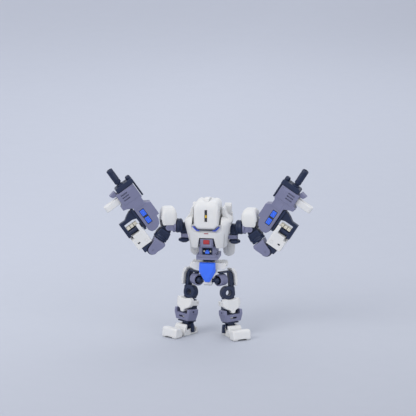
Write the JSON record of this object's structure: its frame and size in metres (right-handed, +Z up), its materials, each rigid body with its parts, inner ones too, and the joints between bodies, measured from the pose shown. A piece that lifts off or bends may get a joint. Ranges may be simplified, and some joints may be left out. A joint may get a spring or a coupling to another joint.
{
  "type": "humanoid robot kit",
  "caption": "Poseable humanoid robot model kit with opening cockpit torso, jointed arms holding blasters, jointed legs and back boosters.",
  "frame": {"origin": "centre of the bounding box on the ground plane under the feet", "axes": "+Z up, +X to the robot's left (arm span, the longest extent), the robot faces -Y (depth, the shortest extent)"},
  "size_m": [0.1152, 0.0316, 0.0952],
  "materials": {
    "white": "satin moulded white",
    "grey": "satin moulded purple-grey",
    "dark": "satin moulded navy-black",
    "blue": "satin moulded bright blue",
    "lens": "glossy blue lamp",
    "eye": "glossy black"
  },
  "bodies": {
    "pelvis": {"pelvis_block": "white"},
    "skirt": {"front_skirt": "blue"},
    "waist": {"waist_joint": "dark"},
    "torso": {"belly_block": "grey", "torso_front_shell": "white", "torso_back_shell": "white", "chin_trim": "blue", "shoulder_collar_left": "grey", "shoulder_collar_right": "grey"},
    "hatch": {"canopy_hatch": "white", "hatch_sensor": "eye"},
    "boosters": {"booster_frame": "white"},
    "pod_left": {"booster_pod_left": "white"},
    "pod_right": {"booster_pod_right": "white"},
    "shoulder_left": {"shoulder_yoke_left": "dark"},
    "shoulder_right": {"shoulder_yoke_right": "dark"},
    "bracket_left": {"arm_bracket_left": "grey", "shoulder_pad_left": "white"},
    "bracket_right": {"arm_bracket_right": "grey", "shoulder_pad_right": "white"},
    "upper_arm_left": {"upper_arm_left": "dark"},
    "upper_arm_right": {"upper_arm_right": "dark"},
    "elbow_fork_left": {"elbow_housing_left": "grey"},
    "elbow_fork_right": {"elbow_housing_right": "grey"},
    "forearm_left": {"forearm_core_left": "dark"},
    "forearm_right": {"forearm_core_right": "dark"},
    "hand_left": {"palm_left": "white"},
    "hand_right": {"palm_right": "white"},
    "fingers_left": {"fingers_left": "white"},
    "fingers_right": {"fingers_right": "white"},
    "gun_left": {"gun_receiver_left": "grey", "gun_muzzle_left": "dark", "gun_grip_left": "dark", "gun_lens_left": "lens"},
    "gun_right": {"gun_receiver_right": "grey", "gun_muzzle_right": "dark", "gun_grip_right": "dark", "gun_lens_right": "lens"},
    "magazine_left": {"gun_magazine_left": "white"},
    "magazine_right": {"gun_magazine_right": "white"},
    "hip_left": {"hip_hub_left": "dark"},
    "hip_right": {"hip_hub_right": "dark"},
    "hip_barrel_left": {"hip_barrel_left": "grey"},
    "hip_barrel_right": {"hip_barrel_right": "grey"},
    "thigh_left": {"thigh_frame_left": "dark"},
    "thigh_right": {"thigh_frame_right": "dark"},
    "hip_plate_left": {"hip_armor_left": "white"},
    "hip_plate_right": {"hip_armor_right": "white"},
    "shin_left": {"knee_cap_left": "white", "shin_core_left": "dark", "shin_armor_left": "grey"},
    "shin_right": {"knee_cap_right": "white", "shin_core_right": "dark", "shin_armor_right": "grey"},
    "ankle_left": {"ankle_bracket_left": "dark"},
    "ankle_right": {"ankle_bracket_right": "dark"},
    "foot_left": {"foot_body_left": "white"},
    "foot_right": {"foot_body_right": "white"},
    "toe_left": {"foot_toe_left": "white"},
    "toe_right": {"foot_toe_right": "white"}
  },
  "joints": [
    {"name": "hatch_open", "type": "hinge", "parent": "torso", "child": "hatch", "pos_m": [-0.0004, 0.00119, 0.07587], "axis": [-1, 0, 0], "range_deg": [0, 70]},
    {"name": "waist_turn", "type": "hinge", "parent": "pelvis", "child": "waist", "pos_m": [-0.0004, 0.00069, 0.04257], "axis": [0, 0, 1], "range_deg": [-20, 20]},
    {"name": "waist_bend", "type": "hinge", "parent": "waist", "child": "torso", "pos_m": [-0.0004, 0.00069, 0.04457], "axis": [1, 0, 0], "range_deg": [-6, 7]},
    {"name": "skirt_flap", "type": "hinge", "parent": "pelvis", "child": "skirt", "pos_m": [-0.0004, -0.00641, 0.04087], "axis": [-1, 0, 0], "range_deg": [0, 35]},
    {"name": "arm_swing_left", "type": "hinge", "parent": "shoulder_left", "child": "bracket_left", "pos_m": [0.01659, 0.00096, 0.06087], "axis": [0.9945, -0.1045, 0], "range_deg": [-60, 60]},
    {"name": "arm_swing_right", "type": "hinge", "parent": "shoulder_right", "child": "bracket_right", "pos_m": [-0.01724, 0.00033, 0.06087], "axis": [0.9511, 0.309, 0], "range_deg": [-60, 60]},
    {"name": "arm_raise_left", "type": "hinge", "parent": "bracket_left", "child": "upper_arm_left", "pos_m": [0.02275, 0.00032, 0.06027], "axis": [-0.1045, -0.9945, 0], "range_deg": [-30, 5]},
    {"name": "arm_raise_right", "type": "hinge", "parent": "bracket_right", "child": "upper_arm_right", "pos_m": [-0.02314, -0.00159, 0.06027], "axis": [-0.309, 0.9511, 0], "range_deg": [-30, 5]},
    {"name": "arm_twist_left", "type": "hinge", "parent": "upper_arm_left", "child": "elbow_fork_left", "pos_m": [0.02275, 0.00032, 0.06027], "axis": [0.6054, -0.0636, -0.7934], "range_deg": [-10, 90]},
    {"name": "arm_twist_right", "type": "hinge", "parent": "upper_arm_right", "child": "elbow_fork_right", "pos_m": [-0.02314, -0.00159, 0.06027], "axis": [0.559, 0.1816, 0.809], "range_deg": [-10, 90]},
    {"name": "elbow_left", "type": "hinge", "parent": "elbow_fork_left", "child": "forearm_left", "pos_m": [0.03184, -0.00064, 0.04837], "axis": [-0.1045, -0.9945, 0], "range_deg": [-85, 2]},
    {"name": "elbow_right", "type": "hinge", "parent": "elbow_fork_right", "child": "forearm_right", "pos_m": [-0.03153, -0.00431, 0.04813], "axis": [-0.309, 0.9511, 0], "range_deg": [-85, 2]},
    {"name": "shoulder_turn_left", "type": "hinge", "parent": "torso", "child": "shoulder_left", "pos_m": [0.0135, 0.00129, 0.06087], "axis": [0, 0, 1], "range_deg": [-20, 20]},
    {"name": "shoulder_turn_right", "type": "hinge", "parent": "torso", "child": "shoulder_right", "pos_m": [-0.0143, 0.00129, 0.06087], "axis": [0, 0, -1], "range_deg": [-20, 20]},
    {"name": "knee_left", "type": "hinge", "parent": "thigh_left", "child": "shin_left", "pos_m": [0.01014, 0.00021, 0.01798], "axis": [0.8268, 0.5607, 0.0437], "range_deg": [0, 80]},
    {"name": "knee_right", "type": "hinge", "parent": "thigh_right", "child": "shin_right", "pos_m": [-0.01093, 0.00021, 0.01798], "axis": [0.8268, -0.5607, -0.0437], "range_deg": [0, 80]},
    {"name": "hip_swing_left", "type": "hinge", "parent": "pelvis", "child": "hip_left", "pos_m": [0.0045, -0.00331, 0.03117], "axis": [-1, 0, 0], "range_deg": [-6, 35]},
    {"name": "hip_swing_right", "type": "hinge", "parent": "pelvis", "child": "hip_right", "pos_m": [-0.0053, -0.00331, 0.03117], "axis": [-1, 0, 0], "range_deg": [-6, 35]},
    {"name": "hip_spread_left", "type": "hinge", "parent": "hip_left", "child": "hip_barrel_left", "pos_m": [0.00657, -0.00036, 0.03117], "axis": [-0.5736, -0.8192, 0], "range_deg": [-5, 10]},
    {"name": "hip_spread_right", "type": "hinge", "parent": "hip_right", "child": "hip_barrel_right", "pos_m": [-0.00736, -0.00036, 0.03117], "axis": [-0.5736, 0.8192, 0], "range_deg": [-5, 10]},
    {"name": "thigh_turn_left", "type": "hinge", "parent": "hip_barrel_left", "child": "thigh_left", "pos_m": [0.00657, -0.00036, 0.03117], "axis": [0.0998, -0.0699, -0.9925], "range_deg": [-20, 20]},
    {"name": "thigh_turn_right", "type": "hinge", "parent": "hip_barrel_right", "child": "thigh_right", "pos_m": [-0.00736, -0.00036, 0.03117], "axis": [0.0998, 0.0699, 0.9925], "range_deg": [-20, 20]},
    {"name": "ankle_pitch_left", "type": "hinge", "parent": "ankle_left", "child": "foot_left", "pos_m": [0.01164, -0.00095, 0.0022], "axis": [-0.8304, -0.5571, 0], "range_deg": [-10, 10]},
    {"name": "ankle_pitch_right", "type": "hinge", "parent": "ankle_right", "child": "foot_right", "pos_m": [-0.01243, -0.00095, 0.0022], "axis": [-0.8304, 0.5571, 0], "range_deg": [-10, 10]},
    {"name": "toe_left", "type": "hinge", "parent": "foot_left", "child": "toe_left", "pos_m": [0.0164, -0.00715, 0.00115], "axis": [-0.8304, -0.5571, 0], "range_deg": [0, 30]},
    {"name": "toe_right", "type": "hinge", "parent": "foot_right", "child": "toe_right", "pos_m": [-0.01719, -0.00715, 0.00115], "axis": [-0.8304, 0.5571, 0], "range_deg": [0, 30]},
    {"name": "booster_tilt", "type": "hinge", "parent": "torso", "child": "boosters", "pos_m": [-0.0004, 0.01169, 0.06177], "axis": [1, 0, 0], "range_deg": [-6, 10]},
    {"name": "pod_swing_left", "type": "hinge", "parent": "boosters", "child": "pod_left", "pos_m": [0.0086, 0.01189, 0.06057], "axis": [1, 0, 0], "range_deg": [-4, 35]},
    {"name": "pod_swing_right", "type": "hinge", "parent": "boosters", "child": "pod_right", "pos_m": [-0.0094, 0.01189, 0.06057], "axis": [1, 0, 0], "range_deg": [-4, 35]},
    {"name": "wrist_left", "type": "hinge", "parent": "forearm_left", "child": "hand_left", "pos_m": [0.03564, -0.00104, 0.05139], "axis": [-0.5344, 0.0562, -0.8434], "range_deg": [-60, 60]},
    {"name": "wrist_right", "type": "hinge", "parent": "forearm_right", "child": "hand_right", "pos_m": [-0.03528, -0.00553, 0.05098], "axis": [-0.5455, -0.1772, 0.8192], "range_deg": [-60, 60]},
    {"name": "grip_left", "type": "hinge", "parent": "hand_left", "child": "fingers_left", "pos_m": [0.03811, 0.00147, 0.05781], "axis": [-0.8388, 0.0882, 0.5373], "range_deg": [0, 40]},
    {"name": "grip_right", "type": "hinge", "parent": "hand_right", "child": "fingers_right", "pos_m": [-0.03848, -0.00368, 0.05731], "axis": [-0.7791, -0.2531, -0.5736], "range_deg": [0, 40]},
    {"name": "gun_swivel_left", "type": "hinge", "parent": "hand_left", "child": "gun_left", "pos_m": [0.03969, -0.00146, 0.06076], "axis": [-0.8388, 0.0882, 0.5373], "range_deg": [-6, 6]},
    {"name": "gun_swivel_right", "type": "hinge", "parent": "hand_right", "child": "gun_right", "pos_m": [-0.03954, -0.00692, 0.06017], "axis": [-0.7791, -0.2531, -0.5736], "range_deg": [-6, 6]},
    {"name": "magazine_left", "type": "slide", "parent": "gun_left", "child": "magazine_left", "axis": [0.8388, -0.0882, -0.5373], "range_m": [0, 0.009]},
    {"name": "magazine_right", "type": "slide", "parent": "gun_right", "child": "magazine_right", "axis": [-0.7791, -0.2531, -0.5736], "range_m": [0, 0.009]},
    {"name": "hip_flap_left", "type": "hinge", "parent": "thigh_left", "child": "hip_plate_left", "pos_m": [0.01066, 0.00315, 0.03677], "axis": [0.5535, -0.825, 0.1138], "range_deg": [0, 40]},
    {"name": "hip_flap_right", "type": "hinge", "parent": "thigh_right", "child": "hip_plate_right", "pos_m": [-0.01145, 0.00315, 0.03677], "axis": [0.5535, 0.825, -0.1138], "range_deg": [0, 40]},
    {"name": "ankle_roll_left", "type": "hinge", "parent": "shin_left", "child": "ankle_left", "pos_m": [0.0115, -0.00074, 0.00449], "axis": [-0.5535, 0.825, -0.1138], "range_deg": [-8, 8]},
    {"name": "ankle_roll_right", "type": "hinge", "parent": "shin_right", "child": "ankle_right", "pos_m": [-0.01229, -0.00074, 0.00449], "axis": [-0.5535, -0.825, 0.1138], "range_deg": [-8, 8]}
  ]
}
